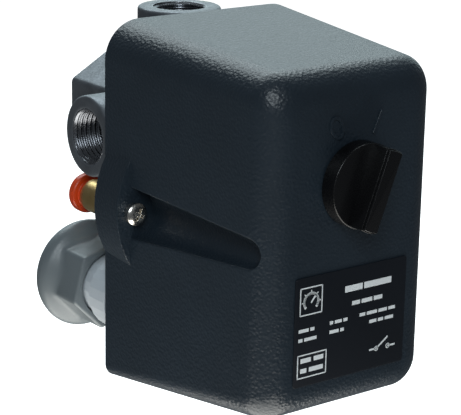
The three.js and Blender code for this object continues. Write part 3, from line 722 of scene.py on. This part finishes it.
def surface_net(field, low, high, cell):
    """A quad mesh of the surface where field(x, y, z) is zero."""
    low, high = np.array(low, float), np.array(high, float)
    counts = np.ceil((high - low) / cell).astype(int) + 1
    axes = [low[i] + cell * np.arange(counts[i]) for i in range(3)]
    values = np.broadcast_to(field(axes[0][:, None, None], axes[1][None, :, None], axes[2][None, None, :]), counts).copy()
    inside = values < 0
    corners = [(i, j, k) for i in (0, 1) for j in (0, 1) for k in (0, 1)]
    n = counts - 1
    total = sum(inside[i:i + n[0], j:j + n[1], k:k + n[2]].astype(np.int8) for i, j, k in corners)
    cells = np.argwhere((total > 0) & (total < 8))
    index = np.full(n, -1)
    index[tuple(cells.T)] = np.arange(len(cells))
    total_place, hits = np.zeros((len(cells), 3)), np.zeros(len(cells))
    for a in corners:
        for axis in range(3):
            if a[axis]:
                continue
            b = tuple(v + (i == axis) for i, v in enumerate(a))
            va, vb = values[tuple((cells + a).T)], values[tuple((cells + b).T)]
            crossed = (va < 0) != (vb < 0)
            t = va / np.where(va == vb, 1, va - vb)
            place = np.array(a, float)[None, :] + np.eye(3)[axis] * t[:, None]
            total_place[crossed] += place[crossed]
            hits[crossed] += 1
    points = low + (cells + total_place / hits[:, None]) * cell
    for _ in range(3):
        value = field(*points.T)
        step = 0.05
        slope = np.stack([(field(*(points + step * e).T) - field(*(points - step * e).T)) / (2 * step) for e in np.eye(3)], 1)
        move = slope * (value / np.maximum((slope ** 2).sum(1), 0.2))[:, None]
        length = np.linalg.norm(move, axis=1)[:, None]
        points -= move * np.minimum(1, 0.3 * cell / np.maximum(length, 1e-9))
    quads = []
    for axis in range(3):
        u, v = [i for i in range(3) if i != axis]
        first = [slice(1, -1)] * 3
        second = list(first)
        first[axis], second[axis] = slice(0, -1), slice(1, None)
        change = inside[tuple(first)] != inside[tuple(second)]
        where = np.argwhere(change)
        where[:, u] += 1
        where[:, v] += 1
        du, dv = np.eye(3, dtype=int)[u], np.eye(3, dtype=int)[v]
        quad = np.stack([index[tuple((where - s).T)] for s in (du + dv, dv, 0 * du, du)], 1)
        quads.append(quad)
    return points, np.concatenate(quads)


# ---- Manifold ----
def manifold_field(x, y, z):
    along_y, along_x, along_z = np.hypot(x, z), np.hypot(y - PORT_Y, z), np.hypot(x, y - PORT_Y)
    flange = disc_field(along_y, y, 19.5, -40.7, -36, 0.8)
    lugs = smooth_min(box_field(x, y, z, (-19.5, -40.7, 10), (19.5, -36, 23.5), 1.6),
                      box_field(x, y, z, (-12.5, -40.7, -24.5), (12.5, -36, -10), 1.6), 0.5)
    flange = smooth_min(flange, lugs, 1.2)
    body = smooth_min(flange, disc_field(along_y, y, 13, -38, -18, 1.5), 2.5)
    side = disc_field(along_x, x, 10, -SIDE_FACE, SIDE_FACE, 0.9)
    top = disc_field(along_z, z, 10.3, -8, TOP_FACE, 0.9)
    body = smooth_min(body, side, 1.6)
    body = smooth_min(body, top, 1.6)
    slanted = smooth_max(np.abs(x * 0.5 + z * 0.8660254), np.abs(x * 0.5 - z * 0.8660254), 0.8)
    hexagon = smooth_max(np.abs(x), slanted, 0.8)
    neck = rounded_pair(hexagon - 12.7, np.abs(y + 14) - 14, 0.7)
    body = smooth_min(body, neck, 1.2)
    bore = 6.72
    ports = np.minimum(np.maximum(along_x - bore, np.minimum(np.abs(x + 21), np.abs(x - 21)) - 8),
                       np.maximum(along_z - bore, np.abs(z - 24.65) - 8))
    ports = np.minimum(ports, np.maximum(along_y - bore, np.abs(y + 5) - 8))
    passages = np.minimum(np.maximum(along_x - 3.5, np.abs(x) - 20), np.maximum(along_z - 3.5, np.abs(z - 10) - 12))
    passages = np.minimum(passages, np.maximum(along_y - 3.5, np.abs(y + 25) - 22))
    chamber = np.minimum(np.maximum(along_y - 16.9, np.abs(y + 42) - 2.8), np.maximum(along_y - 13, np.abs(y + 42) - 4.2))
    hollow = np.minimum(np.minimum(ports, passages), chamber)
    for hx, hz in ((-15.5, 18.5), (15.5, 18.5), (-8.5, -20.5), (8.5, -20.5)):
        hollow = np.minimum(hollow, np.maximum(np.hypot(x - hx, z - hz) - 2.3, np.abs(y + 38) - 5))
    return smooth_max(body, -hollow, 0.35)


def thread_sleeve():
    """A female thread with its chamfer: the port's face is y = 0 and the bore goes to -y."""
    pitch, minor, depth, columns = 1.337, 5.95, 0.62, 96
    outer, chamfer = 6.95, 6.68
    angles = np.arange(columns) * TAU / columns
    rows = [np.full(columns, outer), np.full(columns, chamfer)]
    levels = [-0.12, -0.06]
    steps = int(12.4 / (pitch / 10))
    for k in range(steps + 1):
        y = -0.1 - 12.3 * k / steps
        phase = (-y / pitch + angles / TAU) % 1.0
        wave = np.clip(1.35 * np.abs(2 * phase - 1) - 0.175, 0, 1)
        fade = min(1.0, max(0.0, (12.4 + y) / 1.5))
        radius = minor + depth * wave * fade
        rows.append(np.maximum(radius, chamfer + y * 0.9))
        levels.append(y)
    rows += [np.full(columns, 3.5), np.full(columns, 3.5), np.full(columns, outer)]
    levels += [-12.6, -13.4, -13.4]
    return revolved(rows, levels, angles), grid_faces(len(rows), columns, closed_rows=True)


def make_manifold():
    low, high = (-27.6, -41.4, -25.2), (27.6, 0.6, 30.4)
    casting = surface_net(manifold_field, low, high, 0.5)
    body = new_piece("manifold_casting", casting[0], casting[1], smooth=65)
    finished(body, "cast_metal", "base", "manifold")
    verts, faces = thread_sleeve()
    x, y, z = verts.T
    sleeves = [(verts, faces),
               (np.stack([y + SIDE_FACE, PORT_Y + x, z], 1), faces),
               (np.stack([-(y + SIDE_FACE), PORT_Y + x, z], 1), faces),
               (np.stack([x, PORT_Y - z, y + TOP_FACE], 1), faces)]
    threads = new_piece("port_threads", *merged(*sleeves), smooth=80)
    finished(threads, "machined_metal", "base")


# ---- Glands ----
def dome_nut():
    """A gland nut: hexagonal in front, flaring into a round bell, and bored through."""
    columns = 120
    angles = np.arange(columns) * TAU / columns
    outer = softened([(7.5, -29.7), (9.4, -22.0), (13.2, -19.2), (14.0, -17.6), (13.4, -15.4),
                      (10.6, -11.8), (7.4, -10.4)], 1.3, steps=5)
    bell_y, bell_r = [p[1] for p in outer], [p[0] for p in outer]
    turn = math.radians(-15)
    across = sum(np.maximum(np.cos(angles - turn - k * TAU / 6), 0) ** 60 for k in range(6))
    hexagon = 10.0 / np.power(np.maximum(across, 1e-12), 1 / 60.0)
    rows = []
    front_cap = [(-29.7, -0.7), (-29.6, -0.35), (-29.4, -0.1), (-29.1, 0.0)]
    for y, trim in front_cap:
        rows.append((hexagon + trim, y))
    for y in list(np.linspace(-28.4, -22.5, 7)) + list(np.linspace(-22.0, -17.8, 15)):
        bell = np.interp(y, bell_y, bell_r)
        fade = np.clip((y + 20.5) / 2.5, 0, 1)
        rows.append((smooth_max(hexagon * (1 - 0.25 * fade), np.full(columns, bell), 1.4), y))
    for y in [v for v in bell_y if v > -17.75]:
        rows.append((np.full(columns, np.interp(y, bell_y, bell_r)), y))
    for r, y in ((6.2, -10.25), (5.7, -10.45), (5.5, -10.9), (5.5, -16.0), (5.9, -16.6), (8.0, -16.7),
                 (8.4, -17.0), (8.4, -29.3), (8.6, -29.65)):
        rows.append((np.full(columns, r), y))
    radii, levels = zip(*rows)
    return revolved(radii, levels, angles), grid_faces(len(rows), columns, closed_rows=True)


def make_glands():
    verts, faces = dome_nut()
    for side, sign in (("left", -1), ("right", 1)):
        placed = verts + (sign * GLAND_X, 0, GLAND_Z)
        nut = new_piece(f"dome_nut_{side}", placed, faces, smooth=60)
        finished(nut, "gland_plastic", f"gland_nut_{side}", f"gland_nut_{side}")


# ---- Unloader valve and its collet ----
def make_unloader():
    at = (UNLOADER_X, UNLOADER_Z)
    profile = [(1.5, -45.2), (3, -45.2), (3, -40.9), (5.2, -40.9), (5.2, -37.5), (4.2, -37),
               (4.2, -31.2), (3.95, -30.9), (3.95, -30.3), (4.2, -30), (4.2, -22.0), (4.05, -20.5),
               (3.7, -20.5), (3.7, -33.8), (1.5, -33.8)]
    valve = new_piece("unloader_body", *turned(profile, 0.22, 64, at, closed=True), smooth=50)
    finished(valve, "brass", "base", "unloader_valve")
    face = -19.0
    profile = [(3.1, -30), (3.5, -30), (3.5, face), (4.7, face), (5.1, face + 0.4), (5.1, face + 2.0),
               (4.3, face + 3), (3.4, face + 3), (3.1, face + 2.6)]
    collet = new_piece("collet_ring", *turned(profile, 0.3, 64, at, closed=True), smooth=50)
    finished(collet, "collet_plastic", "collet", "release_collet")


# ---- Cover screws ----
def pan_head_screw(x0, seat, end):
    """A pan head with a cross recess, and a threaded shank to a flat end."""
    head, thick, shank, columns = 2.7, 2.0, 1.5, 96
    angles = np.arange(columns) * TAU / columns
    drawn_head = 3.6                # the radii and the recess below are written for this head, then scaled
    rim_reach = (1.05, 0.25, 0.0)   # how far the last three rings of the head stand in front of its seat
    radii = np.concatenate([np.linspace(0.06, 2.6, 26), np.linspace(2.7, 3.3, 6),
                            [3.45, 3.56, 3.6, 3.6, 3.6, 3.5]]) * head / drawn_head
    first_rim = len(radii) - len(rim_reach)
    rows, levels = [], []
    for i, r in enumerate(radii):
        if i >= first_rim:
            y = np.full(columns, seat - rim_reach[i - first_rim])
        else:
            u, v = (np.abs(r * f(angles)) * drawn_head / head for f in (np.cos, np.sin))
            dome = thick - 0.62 * (r / head) ** 4 - 0.12 * (r / head) ** 2
            narrow, wide = np.minimum(u, v), np.maximum(u, v)
            arm = np.clip((0.50 - narrow) / 0.16, 0, 1) * np.clip((2.15 - wide) / 0.5, 0, 1)
            heart = np.clip((1.25 - (u + v)) / 0.3, 0, 1)
            y = seat - dome + 1.05 * np.maximum(arm, heart)
        rows.append(np.full(columns, r))
        levels.append(y)
    pitch = 0.7
    for y in np.arange(seat + 0.3, end - 0.6, pitch / 5):
        phase = ((y / pitch) + angles / TAU) % 1
        rows.append(shank - 0.28 * np.abs(2 * phase - 1))
        levels.append(np.full(columns, y))
    rows += [np.full(columns, shank - 0.35), np.full(columns, 0.05)]
    levels += [np.full(columns, end - 0.05), np.full(columns, end)]
    rows.insert(len(radii), np.full(columns, shank))
    levels.insert(len(radii), np.full(columns, seat))
    verts = revolved(rows, levels, angles, (x0, CASE_Z))
    faces = grid_faces(len(rows), columns)
    faces.append(tuple(range(columns)))
    faces.append(tuple((len(rows) - 1) * columns + i for i in range(columns)))
    return verts, faces


def make_cover_screws():
    seat = EAR_FRONT - SEAT_GAP - WASHER - SEAT_GAP
    for side, sign in (("left", -1), ("right", 1)):
        verts, faces = pan_head_screw(sign * SCREW_X, seat, SCREW_END)
        turned_verts = rotated_y(verts, SCREW_TURN, (sign * SCREW_X, CASE_Z))
        screw = new_piece(f"pan_screw_{side}", turned_verts, faces, smooth=48)
        finished(screw, "plated_steel", f"cover_screw_{side}", f"cover_screw_{side}")


# ---- Springs ----
def coil(radius, wire, front, rear, turns, z0):
    """A compression spring with its end coils closed."""
    sides, steps = 12, int(turns * 28)
    t = np.linspace(0, 1, steps + 1)
    dead = 0.9 / turns
    pitch = np.clip(np.minimum(t, 1 - t) / dead, 0.18, 1)
    travel = np.concatenate([[0], np.cumsum((pitch[1:] + pitch[:-1]) / 2)])
    travel /= travel[-1]
    y = front + wire + (rear - front - 2 * wire) * travel
    angle = TAU * turns * t
    centre = np.stack([radius * np.cos(angle), y, radius * np.sin(angle)], 1)
    tangent = np.gradient(centre, axis=0)
    tangent /= np.linalg.norm(tangent, axis=1)[:, None]
    outward = np.stack([np.cos(angle), 0 * angle, np.sin(angle)], 1)
    outward -= tangent * (outward * tangent).sum(1)[:, None]
    outward /= np.linalg.norm(outward, axis=1)[:, None]
    third = np.cross(tangent, outward)
    ring = np.arange(sides) * TAU / sides
    verts = (centre[:, None, :] + wire * (np.cos(ring)[None, :, None] * outward[:, None, :]
                                          + np.sin(ring)[None, :, None] * third[:, None, :])).reshape(-1, 3)
    faces = grid_faces(steps + 1, sides)
    faces += [tuple(range(sides)), tuple(steps * sides + i for i in range(sides))]
    return verts + (0, 0, z0), faces


def make_springs():
    """Both springs. The numbers are coil and wire radius, front and rear y, turns, and z of the axis."""
    for name, numbers in (("main", (6.8, 0.9, -68.8, -52.4, 5, 0)),
                          ("differential", (3.3, 0.5, -67.8, -52.4, 7, 15.5))):
        spring = new_piece(f"{name}_coil", *coil(*numbers), smooth=60)
        finished(spring, "spring_steel", "base", f"{name}_spring")
        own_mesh(spring)


set_up_camera()
set_up_stage()
MATERIALS.update(make_materials())
dress_carried_over()
make_cover()
make_knob()
make_label()
make_manifold()
make_glands()
make_unloader()
make_cover_screws()
make_springs()
